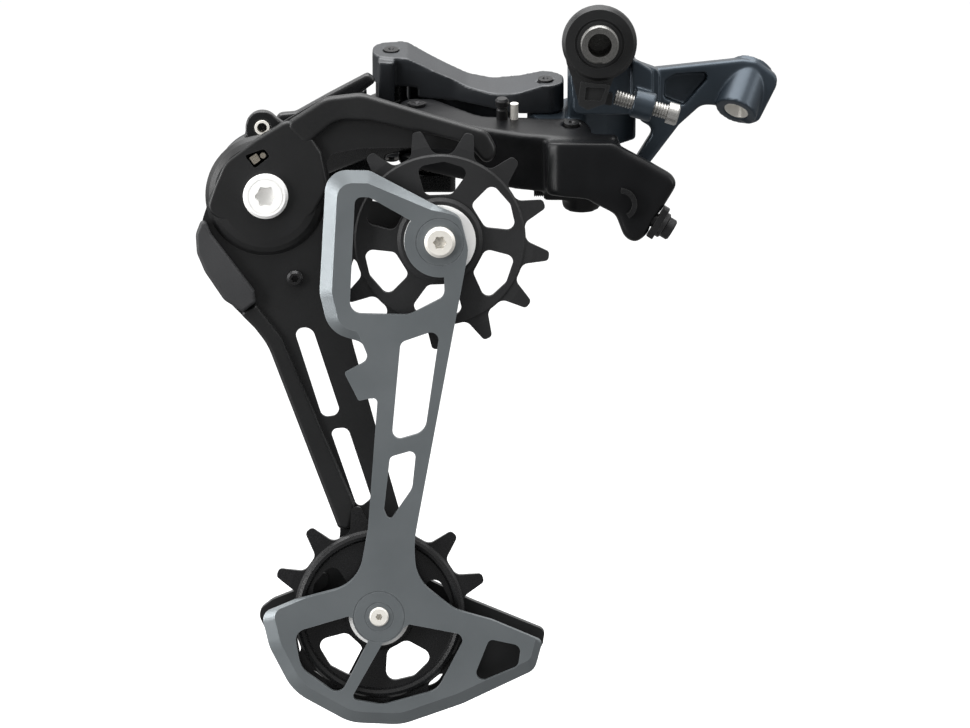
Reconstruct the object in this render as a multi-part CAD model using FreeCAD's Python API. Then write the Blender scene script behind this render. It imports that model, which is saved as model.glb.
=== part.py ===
import FreeCAD, Part
import math
import os

V = FreeCAD.Vector

# Driving dimensions, mm. X rear, Y outboard, Z up, origin on the hanger bolt at the hanger face.
TILT = 17.0
HANGER_R = 5.0
GUIDE = (-41.9, -50.4)
TENSION = (-57.9, -149.3)
CAGE_AXIS = (-87.6, -39.2)
STOP_PIN = (-80.0, -61.1)
EAR = (-88.6, -21.7)
PULLEY_Y = -12.0
TEETH = 13
TOOTH_TIP_R = 28.9
TOOTH_ROOT_R = 22.6
TOOTH_WIDTH = 2.1
INNER_FACE = -18.5
PLATE = 1.7
OUTER_FACE = -7.2
DRUM_R = 14.4
INNER_PIN_B = (-7.2, 3.0)
OUTER_PIN_B = (-14.1, 19.0)
LINK = (-41.0, 14.0)
BARREL = V(0.32, 0.55, 0.77).normalize() * -1
B_SCREW_AXIS = V(0.96, 0, -0.28)
B_SCREW_TIP = V(4.1, 7.0, -14.6)
B_SCREW_R = 2.0
PIN_R = 2.0
CLAMP = V(14.6, -2.6, -46.3)
CLAMP_AXIS = V(0.854, 0, -0.52)
CLAMP_SLOPE = math.degrees(math.atan2(0.52, 0.854))
PIN_FIT = 0.04
INNER_PIN_K = (INNER_PIN_B[0] + LINK[0], INNER_PIN_B[1] + LINK[1])
OUTER_PIN_K = (OUTER_PIN_B[0] + LINK[0], OUTER_PIN_B[1] + LINK[1])


def outline(points):
    """Closed wire through (x, y, corner radius) points, corners rounded by arcs."""
    corners = []
    for i, (x, y, r) in enumerate(points):
        here = V(x, y, 0)
        before = V(*points[i - 1][:2], 0) - here
        after = V(*points[(i + 1) % len(points)][:2], 0) - here
        reach = 0.49 * min(before.Length, after.Length)
        before.normalize()
        after.normalize()
        half = before.getAngle(after) / 2
        cut = min(r / math.tan(half), reach)
        r = cut * math.tan(half)
        middle = (before + after).normalize() * (r / math.sin(half) - r)
        corners.append((here + before * cut, here + middle, here + after * cut, r))
    edges = []
    for i, (start, middle, end, r) in enumerate(corners):
        last = corners[i - 1][2]
        if (start - last).Length > 1e-4:
            edges.append(Part.makeLine(last, start))
        if r > 1e-3:
            edges.append(Part.Arc(start, middle, end).toShape())
    return Part.Wire(edges)


def upright(shape, y):
    """Turn a shape drawn in the ground plane into the X-Z plane at depth y."""
    shape.rotate(V(0, 0, 0), V(1, 0, 0), 90)
    shape.translate(V(0, y, 0))
    return shape


def plate(points, y0, y1):
    return Part.Face(upright(outline(points), y0)).extrude(V(0, y1 - y0, 0))


def slab(points, w0, w1):
    """Prism of a plan outline in the tilted linkage frame."""
    wire = outline(points)
    wire.translate(V(0, 0, w0))
    return Part.Face(wire).extrude(V(0, 0, w1 - w0))


def tilted(shape):
    shape.rotate(V(0, 0, 0), V(1, 0, 0), TILT)
    return shape


def rod(centre, r, y0, y1):
    return Part.makeCylinder(r, y1 - y0, V(centre[0], y0, centre[1]), V(0, 1, 0))


def tube(centre, outer, inner, y0, y1):
    return rod(centre, outer, y0, y1).cut(rod(centre, inner, y0 - 1, y1 + 1))


def post(centre, r, w0, w1):
    return Part.makeCylinder(r, w1 - w0, V(centre[0], centre[1], w0))


def turned(centre, profile):
    """Revolve (radius, depth) points about the Y axis through centre."""
    points = [V(centre[0] + r, y, centre[1]) for r, y in profile]
    face = Part.Face(Part.makePolygon(points + points[:1]))
    return face.revolve(V(centre[0], 0, centre[1]), V(0, 1, 0), 360)


def threaded(centre, r, y0, y1, pitch=0.8):
    """Rod with ridges, standing for a screw thread."""
    count = max(1, int((y1 - y0) / pitch))
    step = (y1 - y0) / count
    profile = [(0, y0)]
    for i in range(count):
        low = y0 + i * step
        profile += [(r - 0.3, low), (r, low + 0.35 * step), (r, low + 0.65 * step)]
    profile += [(r - 0.3, y1), (0, y1)]
    return turned(centre, profile)


def aimed(shape, slope, place):
    """Turn a shape drawn along +Y onto +X sloping down by that many degrees, and move it to place."""
    shape.rotate(V(0, 0, 0), V(0, 0, 1), -90)
    shape.rotate(V(0, 0, 0), V(0, 1, 0), slope)
    shape.translate(place)
    return shape


def star(centre, r, y0, y1):
    """Six-lobed socket tool."""
    points = []
    for k in range(12):
        angle = math.radians(30 * k)
        reach = r if k % 2 == 0 else 0.74 * r
        points.append((centre[0] + reach * math.cos(angle), centre[1] + reach * math.sin(angle), 0.22 * r))
    return plate(points, y0, y1)


def hexagon(centre, across, y0, y1):
    r = across / math.sqrt(3)
    corners = [math.radians(60 * k + 30) for k in range(6)]
    return plate([(centre[0] + r * math.cos(a), centre[1] + r * math.sin(a), 0) for a in corners], y0, y1)


def coil(centre, r, wire, y0, turns, leg, end_leg):
    """Torsion spring about a Y axis: close coils and two straight legs, angles in degrees."""
    pitch = wire * 2 + 0.12
    solids = []
    for k in range(turns):
        y = y0 + wire + k * pitch
        solids.append(Part.makeTorus(r, wire, V(centre[0], y, centre[1]), V(0, 1, 0)))
    legs = [(y0 + wire, leg), (y0 + wire + (turns - 1) * pitch, end_leg)]
    for y, (angle, length) in [pair for pair in legs if pair[1]]:
        a = math.radians(angle)
        start = V(centre[0] + r * math.cos(a), y, centre[1] + r * math.sin(a))
        solids.append(Part.makeCylinder(wire, length, start, V(math.cos(a), 0, math.sin(a))))
    tie = math.radians(40)
    start = V(centre[0] + r * math.cos(tie), y0 + wire, centre[1] + r * math.sin(tie))
    solids.append(Part.makeCylinder(0.8 * wire, (turns - 1) * pitch, start, V(0, 1, 0)))
    return solids[0].fuse(solids[1:])


def rounded_edges(shape, r, pick):
    """Fillet the picked edges, keeping the sharp shape where the fillet cannot be made."""
    edges = [e for e in shape.Edges if pick(e)]
    try:
        result = shape.makeFillet(r, edges)
    except Exception:
        return shape
    return result if result.isValid() and result.Volume > 0 else shape


def rim_edges(y):
    """Picker for edges lying in the plane at depth y."""
    return lambda e: abs(e.BoundBox.YMin - y) < 1e-3 and abs(e.BoundBox.YMax - y) < 1e-3


def level_edges(w):
    return lambda e: abs(e.BoundBox.ZMin - w) < 1e-3 and abs(e.BoundBox.ZMax - w) < 1e-3


# ---------------------------------------------------------------- hanger side

def hanger_bolt():
    nose = threaded((0, 0), HANGER_R, -5.5, 0.0, 1.0).fuse(rod((0, 0), HANGER_R, -1.0, 0.0))
    rest = turned((0, 0), [(0, 0), (HANGER_R - 0.25, 0), (HANGER_R - 0.25, 3.4), (6.3, 3.4), (6.3, 20.5), (7.5, 20.5),
                           (8.2, 21.3), (8.2, 23.4), (7.2, 24.6), (0, 24.6)])
    bolt = nose.fuse(rest)
    bolt = bolt.cut(rod((0, 0), 3.15, -6, 16))
    slots = [Part.makeBox(1.4, 1.2, 0.9, V(-0.7, -5.6, z)) for z in (4.35, -5.25)]
    return bolt.cut(slots + [hexagon((0, 0), 5.0, 18.6, 26)])


def stop_plate():
    disc = turned((0, 0), [(5.06, 0), (9.0, 0), (9.8, 0.8), (9.8, 3.2), (5.06, 3.2)])
    face = turned((0, 0), [(5.9, -0.01), (6.5, -0.01), (6.5, 0.5), (5.9, 0.5)])
    neck = plate([(-9.3, -2, 1), (-8.6, -5.5, 2), (-7.4, -8.5, 1), (-5.4, -16.2, 1.2), (-3.0, -17.6, 1),
                  (-0.4, -16.2, 1), (1.8, -14.2, 1), (3.6, -9.4, 1), (9.2, -2.2, 1)], 0.9, 3.2)
    neck = neck.cut(rod((0, 0), 8, 0, 4))
    tab = plate([(-5.0, -9.9, 0.6), (-5.6, -15.9, 0.6), (-3.2, -17.2, 0.5), (1.4, -15.6, 0.6),
                 (2.9, -10.6, 0.6)], -2.6, 3.2)
    recess = plate([(-3.6, -11.2, 0.4), (-4.0, -14.6, 0.4), (0.4, -14.8, 0.4), (1.6, -11.4, 0.4)], -3, -1.9)
    catch = plate([(1.0, -13.0, 0.4), (0.8, -16.0, 0.4), (3.2, -16.4, 0.4), (3.6, -13.4, 0.4)], 0.9, 7.4)
    return disc.fuse([neck, tab, catch]).cut([recess, face])


def washer_disc():
    return turned((0, 0), [(6.36, 3.55), (9.6, 3.55), (9.9, 3.85), (9.9, 4.9), (6.36, 4.9)])


def hanger_sleeve():
    return tube((0, 0), 6.9, 6.34, 5.0, 20.3)


def hanger_spring():
    return coil((0, 0), 7.42, 0.33, 12.0, 7, None, None)


def bracket_body():
    eye = turned((0, 0), [(6.96, 5.1), (9.2, 5.1), (9.9, 5.8), (9.6, 7.4), (8.7, 8.6), (8.7, 19.6),
                          (8.2, 20.2), (6.96, 20.2)])
    web = plate([(5, -3, 2), (11, -6.2, 2.2), (16, -8, 2), (16, -19.6, 3), (4, -19.8, 3),
                 (-6.5, -19.8, 2), (-8, -6, 2)], 12.6, 20.0)
    beam = plate([(10.8, -7.4, 2), (13.6, -8.6, 2), (38.2, -6.0, 3), (42.0, -6.5, 3),
                  (47.6, -10.7, 2.2), (47.2, -13.4, 2), (42.6, -22.6, 2.2), (39.6, -23.6, 2.2),
                  (31.4, -18.4, 3), (27.4, -18.2, 4), (21.4, -23.6, 3), (13.2, -34.4, 2),
                  (9.4, -33.2, 1.4), (14.8, -24.6, 2), (10.8, -22.4, 2)], 23.6, 31.0)
    pocket = plate([(17.6, -11.6, 1), (20.4, -10.0, 1), (28.6, -9.4, 1.4), (28.8, -11.4, 1),
                    (22.6, -18.4, 1), (17.4, -16.4, 1)], 23, 28)
    back = plate([(32, -9, 1), (40, -8.4, 1.5), (44, -11.4, 1.5), (40.8, -18, 1.5), (33, -14.6, 1.5)],
                 28.5, 32)
    beam = rounded_edges(beam, 1.1, lambda e: rim_edges(23.6)(e) or rim_edges(31.0)(e)).cut([pocket, back])
    bridge = plate([(10.8, -7.4, 2), (16, -9.0, 2), (16, -19.6, 3), (10.8, -19.8, 2)], 12.6, 30.0)
    boss = Part.makeCylinder(3.9, 5.6, B_SCREW_TIP + B_SCREW_AXIS * 5.0, B_SCREW_AXIS)
    foot = plate([(8.6, -4.4, 1), (14.0, -7.8, 1), (14.0, -20.4, 1), (8.8, -20.4, 1)], 8.6, 13.0)
    lower = slab([(-18.6, 24.2, 4), (-19.0, 18, 4.2), (-12.2, 2.6, 4), (-8.2, -1.5, 3.8),
                  (-2.8, 2.2, 4), (-3.6, 11.0, 2), (2.0, 14.2, 3), (10.0, 21.0, 2), (10.0, 27.0, 2),
                  (-8, 27, 3), (-14, 24.2, 3)], -35.9, -28.5)
    riser = slab([(-18.6, 24.2, 4), (-19.0, 18, 4.2), (-14.6, 9.4, 2), (-3.6, 11.0, 2), (2.0, 14.2, 3),
                  (10.0, 21.0, 2), (10.0, 27.0, 2), (-8, 27, 3), (-14, 24.2, 3)], -28.6, -26.1)
    neck = slab([(-8.2, 11.6, 1), (-3.6, 11.0, 2), (2.0, 14.2, 3), (10.0, 21.0, 2), (10.0, 27.0, 2),
                 (-8.2, 27, 3)], -26.2, -14.0)
    lugs = tilted(rounded_edges(lower.fuse([riser, neck]).removeSplitter(), 0.8, level_edges(-35.9)))
    mouth = V(36.4, 22.0, -19.9)
    barrel = Part.makeCylinder(5.6, 14.6, mouth, -BARREL)
    body = eye.fuse([web, beam, bridge, boss, foot, lugs, barrel])
    seat = Part.makeCylinder(3.3, 4.1, mouth + BARREL * 0.1, -BARREL)
    cord = Part.makeCylinder(1.4, 12, mouth, -BARREL)
    socket = Part.makeCylinder(3.05, 20, mouth - BARREL * 6.0, -BARREL)
    screw = Part.makeCylinder(B_SCREW_R + 0.04, 24, B_SCREW_TIP, B_SCREW_AXIS)
    pins = [tilted(post(INNER_PIN_B, PIN_R + PIN_FIT, -50, -24)), tilted(post(OUTER_PIN_B,
                                                                              PIN_R + PIN_FIT, -50,
                                                                              -24))]
    bore = turned((0, 0), [(0, 3), (6.96, 3), (6.96, 11.6), (7.95, 11.6), (7.95, 18.4), (6.96, 18.4),
                           (6.96, 20.2), (9.9, 20.2), (9.9, 50), (0, 50)])
    return body.cut([bore, seat, cord, socket, screw] + pins)


def b_screw():
    """Screw drawn along Y, then turned onto its own axis."""
    shank = threaded((0, 0), B_SCREW_R, 0, 14.5, 0.75)
    head = turned((0, 0), [(0, 14.5), (2.9, 14.5), (2.9, 17.1), (2.5, 17.5), (0, 17.5)])
    screw = shank.fuse(head).cut(hexagon((0, 0), 2.5, 15.3, 18))
    return aimed(screw, math.degrees(math.atan2(0.28, 0.96)), B_SCREW_TIP)


def cable_ferrule():
    """Funnel-mouthed liner pressed in the barrel."""
    mouth = V(36.4, 22.0, -19.9) - BARREL * 0.3
    ring = Part.makeCylinder(3.26, 3.6, mouth, -BARREL)
    funnel = Part.makeCone(2.9, 0.9, 2.6, mouth + BARREL * 0.01, -BARREL)
    return ring.cut([funnel, Part.makeCylinder(0.9, 5, mouth, -BARREL)])


# ---------------------------------------------------------------- linkage

def link_pin(centre, w0, w1):
    pin = post(centre, PIN_R, w0, w1)
    groove = post(centre, PIN_R + 1, w0 + 0.9, w0 + 1.7).cut(post(centre, PIN_R - 0.45, w0 + 0.8, w0 + 1.8))
    dimple = Part.makeCone(0.9, 0.3, 0.5, V(centre[0], centre[1], w1 + 0.001), V(0, 0, -1))
    return tilted(pin.cut([groove, dimple]))


def circlip(centre, w0):
    clip = post(centre, 3.1, w0 + 0.95, w0 + 1.65).cut(post(centre, PIN_R - 0.43, w0, w0 + 3))
    return tilted(clip.cut(Part.makeBox(1.6, 4, 2, V(centre[0] - 0.8, centre[1] - 4.2, w0 + 0.2))))


def inner_link():
    body = slab([(5.0, -6.6, 1), (-8.6, -7.0, 3), (-19.9, -5.0, 6), (-31.4, -0.6, 6), (-45.5, 7.4, 5),
                 (-53.4, 12.6, 4.6), (-53.0, 22.0, 4.8), (-44.0, 22.2, 4.8), (-31, 9.5, 8),
                 (-13, 8.2, 4), (-4.2, 8.6, 4.4), (-2.2, 3, 2), (-1.6, -2.6, 1), (5.0, -2.6, 0.8)],
                -40.0, -24.0)
    body = rounded_edges(body, 0.9, lambda e: level_edges(-24.0)(e) or level_edges(-40.0)(e))
    fork_b = slab([(-16, 14, 0), (-16, 2.6, 3), (-12.8, -2.9, 3), (2, -2.9, 0), (2, 14, 0)], -36.2, -28.2)
    fork_k = slab([(-41.0, 30, 0), (-41.0, 15.4, 2), (-44.6, 11.6, 2), (-45.4, 4, 0), (-60, 4, 0),
                   (-60, 30, 0)], -36.3, -28.1)
    relief = slab([(-18, 9.6, 1), (-18, -1.2, 2), (-31, 3.2, 3), (-39, 8.0, 2), (-41.6, 16, 1),
                   (-30, 14, 1)], -37.0, -27.0)
    boss = post((-4.6, 0.4), 5.2, -46.6, -39.9).fuse(post(INNER_PIN_B, 5.0, -42.4, -39.9))
    screw_boss = slab([(-15.0, -4.4, 1), (-4, -4.4, 1), (-4, 1.6, 1), (-15.0, 1.6, 1)], -43.0, -39.9)
    label = slab([(-21, -9, 0), (-12.8, -9, 0), (-12.8, -5.96, 0), (-21, -4.4, 0)], -38.4, -26.6)
    label = label.cut(slab([(-20.4, -9.5, 0), (-13.4, -9.5, 0), (-13.4, -3, 0), (-20.4, -3, 0)], -37.8, -27.2))
    body = tilted(body.fuse([boss, screw_boss]).cut([fork_b, fork_k, relief, label]))
    lever = plate([(-3.0, -26.0, 2), (3.4, -25.6, 2), (13.2, -30.8, 3), (18.8, -34.0, 1.5), (20.6, -36.4, 2),
                   (12.2, -50.2, 2), (9.4, -52.4, 2.4), (6.4, -50.6, 3.5), (4.2, -44.6, 3), (-3.0, -41.0, 2)],
                  -5.6, 0.4)
    lever = rounded_edges(lever, 1.6, rim_edges(-5.6))
    root = plate([(-14.0, -25.6, 1), (3.4, -25.6, 1), (6.2, -27.2, 1), (5.2, -42.0, 1), (-3.0, -40.6, 1),
                  (-14.0, -39.6, 1)], -5.4, 5.0)
    slope = Part.makeBox(44, 20, 40, V(-30, -23, -60))
    slope.rotate(V(-14, 3, 0), V(0, 0, 1), -27.5)
    bolt = Part.makeCylinder(2.04, 9.0, CLAMP - CLAMP_AXIS * 8.0, CLAMP_AXIS)
    pins = [tilted(post(p, PIN_R + PIN_FIT, -50, -23)) for p in (INNER_PIN_B, INNER_PIN_K)]
    return body.fuse(root.fuse(lever).cut(slope)).cut([bolt, tilted(limit_bore())] + pins)


def limit_bore():
    return Part.makeCylinder(1.34, 12, V(-15.6, -1.6, -41.4), V(1, 0, 0))


def limit_screws():
    screws = []
    for x, v, w in ((-17.2, -1.6, -41.4),):
        screw = threaded((0, 0), 1.3, 0, 9.5, 0.5)
        screw.rotate(V(0, 0, 0), V(0, 0, 1), -90)
        screw.translate(V(x, v, w))
        screws.append(tilted(screw))
    return Part.makeCompound(screws)


def clamp_bolt():
    bolt = turned((0, 0), [(0, -7.5), (2.0, -7.5), (2.0, 1.85), (3.5, 1.85), (3.5, 2.8), (2.9, 3.2), (2.9, 4.9),
                           (2.5, 5.3), (0, 5.3)])
    return aimed(bolt.cut(hexagon((0, 0), 4.0, 3.4, 7)), CLAMP_SLOPE, CLAMP)


def clamp_plate():
    body = plate([(-3.0, -4.6, 1), (-3.0, 4.6, 1), (3.0, 4.6, 1), (3.0, -4.6, 1)], 0.15, 1.8)
    groove = Part.makeCylinder(0.6, 14, V(-2.7, 0.15, -7), V(0, 0, 1))
    return aimed(body.cut([rod((0, 0), 2.06, -1, 3), groove]), CLAMP_SLOPE, CLAMP)


def outer_link():
    bar = [(-9.2, 14.4, 4.4), (-9.2, 24.0, 4.8), (-20, 27.5, 6), (-40, 34.5, 8), (-52, 39.6, 5),
           (-60, 38.2, 4.8), (-60.2, 28.4, 4.6), (-52, 26.8, 4), (-38, 24.0, 8), (-22, 14.8, 6)]
    right = slab(bar, -25.8, -17.8)
    left = slab([(-42, 35.2, 3), (-52, 39.6, 5), (-60, 38.2, 4.8), (-60.2, 28.4, 4.6), (-52, 26.8, 4),
                 (-41, 24.8, 3)], -23.0, -14.9)
    scoop = plate([(-52.5, -14.2, 0), (-43, -18.2, 6), (-34.6, -21.2, 8), (-28, -21.6, 8),
                   (-20.9, -19.9, 6), (-14.5, -17.7, 0), (-14.5, -8, 0), (-52.5, -8, 0)], 5, 45)
    cut = slab([(-48, 42, 0), (-64, 42, 0), (-64, 24, 0), (-48, 24, 0)], -26.0, -23.0)
    lower = slab(bar, -43.6, -36.2)
    wall = slab([(-22, 28.2, 1), (-40, 34.5, 8), (-51.4, 39.2, 1), (-50.6, 36.6, 1), (-39, 31.6, 8),
                 (-22, 25.3, 1)], -37.0, -25.0)
    top = right.fuse(left).removeSplitter().cut([cut, scoop])
    top = rounded_edges(top, 0.8,
                        lambda e: e.BoundBox.ZMin > -21.9 and e.BoundBox.XLength + e.BoundBox.YLength > 0.3)
    front = slab([(-58.6, 28.8, 0.6), (-58.6, 25.2, 1), (-54.2, 24.6, 1), (-54.2, 27.6, 0.6)], -27.6, -15.4)
    hollow = slab([(-22, 25.2, 1), (-40, 31.8, 4), (-48, 33.4, 1), (-48, 29.0, 1), (-38, 26.0, 4),
                   (-23, 17.0, 1)], -26.2, -23.3)
    light = plate([(-36.4, -36.1, 0.8), (-36.0, -34.2, 0.8), (-31.2, -33.4, 0.8), (-30.8, -36.1, 0.8)],
                  20, 45)
    body = top.fuse([lower, wall, front]).cut([hollow, light])
    hook = post((-39.2, 27.0), 2.2, -26.4, -22.6)
    bores = [post(OUTER_PIN_B, PIN_R + PIN_FIT, -60, 0), post(OUTER_PIN_K, PIN_R + PIN_FIT, -60, 0)]
    return tilted(body.fuse(hook).cut(bores))


# ---------------------------------------------------------------- front knuckle

def knuckle_body():
    drum = turned(CAGE_AXIS, [(5.06, -3.0), (8.0, -3.0), (8.0, 1.6), (12.0, 1.6), (12.0, -5.2),
                              (DRUM_R - 0.5, -5.2), (DRUM_R, -4.7), (DRUM_R, 25.2), (10.7, 25.2),
                              (10.7, 14.4), (5.06, 14.4)])
    well = turned(CAGE_AXIS, [(7.0, 3.0), (11.4, 3.0), (11.4, 12.4), (7.0, 12.4)])
    ear = rod(EAR, 4.4, -4.4, 1.2)
    ear_web = plate([(-93.2, -23.5, 1), (-91.6, -19.0, 2), (-85.4, -18.8, 2), (-80.0, -22.5, 1),
                     (-80, -29, 1), (-93.4, -29, 1)], -4.0, 0.8)
    stop = plate([(-79.6, -46.0, 1), (-74.6, -46.0, 1), (-71.6, -52.0, 1.5), (-71.6, -62.5, 1.5),
                  (-77.4, -62.5, 0.6), (-77.4, -57, 1), (-79.6, -53, 1)], -5.0, 1.6)
    rib = plate([(-86.0, -20.2, 2), (-80.4, -19.8, 3), (-72.2, -15.2, 6), (-61.2, -9.4, 1),
                 (-58.6, -11.4, 1), (-67.4, -18.0, 5), (-73, -30, 4), (-84, -30, 2)], 19.0, 25.0)
    rib = rounded_edges(rib, 0.8, lambda e: rim_edges(19.0)(e) or rim_edges(25.0)(e))
    lug = slab([(-50.6, 37.4, 4.4), (-59.6, 37.4, 4.4), (-65.5, 28, 4), (-71, 17.0, 3), (-84, 14, 3),
                (-84, -6, 2), (-74, -6, 3), (-61, 7, 4), (-51, 12.3, 4), (-43.7, 12.8, 4.4),
                (-43.8, 21.4, 4.4), (-50.6, 30, 4)], -36.0, -28.4)
    lug = rounded_edges(lug, 1.2, lambda e: level_edges(-28.4)(e) or level_edges(-36.0)(e))
    boss = post(OUTER_PIN_K, 4.2, -30.0, -23.3)
    tower = slab([(-68.5, 25, 2), (-62.6, 27.6, 2), (-61.4, 22.2, 2), (-64.0, 15, 2), (-72, 13, 2)],
                 -33.0, -21.8)
    arm = tilted(lug.fuse([boss, tower]))
    block = slab([(-84, 9.4, 1), (-56.5, 9.4, 1), (-56.5, 21, 2), (-84, 21, 1)], -42.0, -35.5)
    apron = slab([(-84, 9.4, 1), (-38.5, 9.4, 1), (-37.4, 11.8, 1), (-56.5, 12.2, 1), (-56.5, 21, 2),
                  (-84, 21, 1)], -46.4, -41.2)
    skirt = tilted(block.fuse(apron).removeSplitter()).cut(rod(CAGE_AXIS, DRUM_R + 0.4, 25.2, 60))
    body = drum.cut(well).fuse([ear, ear_web, stop, rib])
    inside = turned(CAGE_AXIS, [(0, -5.3), (12.0, -5.3), (12.0, 1.6), (8.0, 1.6), (8.0, 3.0),
                                (11.4, 3.0), (11.4, 12.4), (7.0, 12.4), (7.0, 14.4), (10.7, 14.4),
                                (10.7, 40), (0, 40)])
    core = turned(CAGE_AXIS, [(5.06, -3.0), (8.0, -3.0), (8.0, 1.7), (5.06, 1.7)])
    hub = turned(CAGE_AXIS, [(5.06, 1.6), (7.0, 1.6), (7.0, 14.5), (5.06, 14.5)])
    body = body.fuse([arm, skirt]).cut(inside).fuse([core, hub])
    floor = turned(CAGE_AXIS, [(5.06, 1.6), (12.2, 1.6), (12.2, 3.0), (5.06, 3.0)])
    roof = turned(CAGE_AXIS, [(5.06, 12.4), (11.6, 12.4), (11.6, 14.4), (5.06, 14.4)])
    pins = [tilted(post(p, PIN_R + PIN_FIT, -50, -20)) for p in (INNER_PIN_K, OUTER_PIN_K)]
    screws = [rod(p, 1.03, 18.0, 30) for p in cover_screw_places()]
    return body.fuse([floor, roof]).cut(pins + screws + [rod(EAR, 2.02, -6, 0)])


def cover_screw_places():
    return [(CAGE_AXIS[0] + 12.3 * math.cos(math.radians(a)),
             CAGE_AXIS[1] + 12.3 * math.sin(math.radians(a))) for a in (75, 195, 315)]


def ear_bushing():
    return turned(EAR, [(1.3, -4.7), (1.9, -4.7), (1.98, -4.6), (1.98, -0.02), (1.3, -0.02)])


def knuckle_seal():
    return tube(CAGE_AXIS, 11.9, 11.1, -5.3, -3.4)


def cage_spring():
    return coil(CAGE_AXIS, 10.2, 0.75, -3.2, 2, None, None)


def cage_axle():
    axle = turned(CAGE_AXIS, [(0, -11.6), (5.2, -11.6), (5.9, -10.9), (5.9, -9.42), (5.0, -9.42),
                              (5.0, 20.4), (3.0, 20.4), (3.0, 24.0), (0, 24.0)])
    cut = star(CAGE_AXIS, 3.1, -12, -8.6)
    ring = turned(CAGE_AXIS, [(4.4, -11.7), (4.7, -11.7), (4.7, -11.35), (4.4, -11.35)])
    return axle.cut([cut, ring])


def axle_nut():
    nut = hexagon(CAGE_AXIS, 8.0, 21.2, 23.8)
    return nut.cut(rod(CAGE_AXIS, 3.02, 20, 25))


def clutch_ring():
    return turned(CAGE_AXIS, [(5.04, 14.9), (8.2, 14.9), (8.2, 20.3), (5.04, 20.3)])


def friction_band():
    band = tube(CAGE_AXIS, 8.9, 8.32, 15.2, 19.6)
    return band.cut(Part.makeBox(2.4, 6, 5, V(CAGE_AXIS[0] - 1.2, 14.6, CAGE_AXIS[1] - 11)))


def band_clamp():
    """Small block and screw closing the friction band."""
    x, z = CAGE_AXIS
    block = plate([(x - 1.7, z - 9.15, 0.3), (x + 1.7, z - 9.15, 0.3), (x + 1.7, z - 10.35, 0.3),
                   (x - 1.7, z - 10.35, 0.3)], 15.4, 19.4)
    return block


def clutch_cover():
    cover = turned(CAGE_AXIS, [(0, 28.0), (9.8, 28.0), (13.6, 25.75), (14.4, 25.75), (14.4, 27.6),
                               (11.6, 30.4), (9.8, 31.4), (4.0, 31.4), (3.4, 30.9), (0, 30.9)])
    slot = plate([(-91.6, -33.2, 1), (-83.6, -33.2, 1), (-83.6, -28.4, 1), (-91.6, -28.4, 1)], 30.4, 34)
    cover = cover.cut([rod(p, 1.15, 20, 34) for p in cover_screw_places()] + [slot, lever_shaft_hole()])
    return cover.cut([rod(p, 1.75, 27.64, 34) for p in cover_screw_places()])


def lever_shaft_hole():
    return rod((-87.6, -46.2), 1.56, 24, 40)


def cover_gasket():
    return tube(CAGE_AXIS, 14.2, 10.9, 25.25, 25.7).cut([rod(p, 1.15, 20,
                                                             34) for p in cover_screw_places()])


def cover_screws():
    screws = []
    for p in cover_screw_places():
        screw = turned(p, [(0, 18.4), (1.0, 18.4), (1.0, 27.65), (1.6, 27.65), (1.6, 28.8), (1.3, 29.2),
                           (0, 29.2)])
        screws.append(screw.cut(star(p, 1.0, 28.2, 30)))
    return Part.makeCompound(screws)


def clutch_lever():
    shaft = rod((-87.6, -46.2), 1.5, 24.4, 33.5)
    blade = plate([(-90.4, -43.6, 2.4), (-84.8, -43.6, 2.4), (-85.0, -50, 2), (-86.2, -60.4, 1.4),
                   (-89.4, -60.4, 1.4), (-90.2, -50, 2)], 31.75, 33.8)
    grip = plate([(-86.0, -56.0, 1), (-89.6, -56.0, 1), (-89.6, -60.6, 1.4), (-86.0, -60.6, 1.4)],
                 31.75, 36.4)
    return rounded_edges(blade.fuse(grip).removeSplitter(), 0.5, rim_edges(36.4)).fuse(shaft)


# ---------------------------------------------------------------- cage

def inset(points):
    """Points (x, y, radius, width): each side moved inward by the width given at its first point."""
    count = len(points)
    moved = []
    for i in range(count):
        a = V(*points[i][:2], 0)
        b = V(*points[(i + 1) % count][:2], 0)
        along = (b - a).normalize()
        inward = V(along.y, -along.x, 0)
        moved.append((a + inward * points[i][3], along))
    result = []
    for i in range(count):
        p, d = moved[i - 1]
        q, e = moved[i]
        cross = d.x * e.y - d.y * e.x
        here = V(*points[i][:2], 0)
        corner = here + V(d.y, -d.x, 0) * (0.5 * (points[i - 1][3] + points[i][3]))
        if abs(cross) > 0.12:
            corner = p + d * (((q.x - p.x) * e.y - (q.y - p.y) * e.x) / cross)
        result.append((corner.x, corner.y, max(0.3, points[i][2] - points[i][3] * 0.6)))
    return result


INNER_EDGE = [(-71.6, -31.6, 8.5, 3.2), (-60.3, -31.8, 4, 3.0), (-43.6, -40.6, 3, 0),
              (-36.6, -43.6, 4, 0), (-34.4, -52.6, 8, 0), (-48.8, -130, 30, 0), (-48.0, -139.5, 12, 0),
              (-38, -147.4, 10, 0), (-28.2, -150.2, 8, 0), (-14.9, -155.8, 1.6, 2),
              (-17.0, -163.6, 4, 3.2), (-36, -172.6, 20, 3.2), (-52, -178.2, 14, 3.2),
              (-65.6, -177.6, 12, 3.2), (-80.6, -169.4, 14, 3.2), (-86.8, -157.5, 12, 3.2),
              (-88.9, -148.6, 3, 0.6), (-80, -144.9, 8, 0.2), (-63.4, -140.5, 10, 0),
              (-60.8, -126, 12, 0), (-58.2, -91.2, 1.2, 0), (-63.2, -92.2, 0.5, 0),
              (-66.9, -84.9, 0.5, 0), (-60.4, -81.4, 2.2, 0), (-62.2, -77, 3, 2.4),
              (-71, -74.2, 8, 3.2), (-73.4, -64, 8, 3.2)]


def ruled(low, high, y0, y1):
    """Solid between two like outlines at two depths."""
    return Part.makeLoft([upright(outline(low), y0), upright(outline(high), y1)], True, True)


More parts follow.
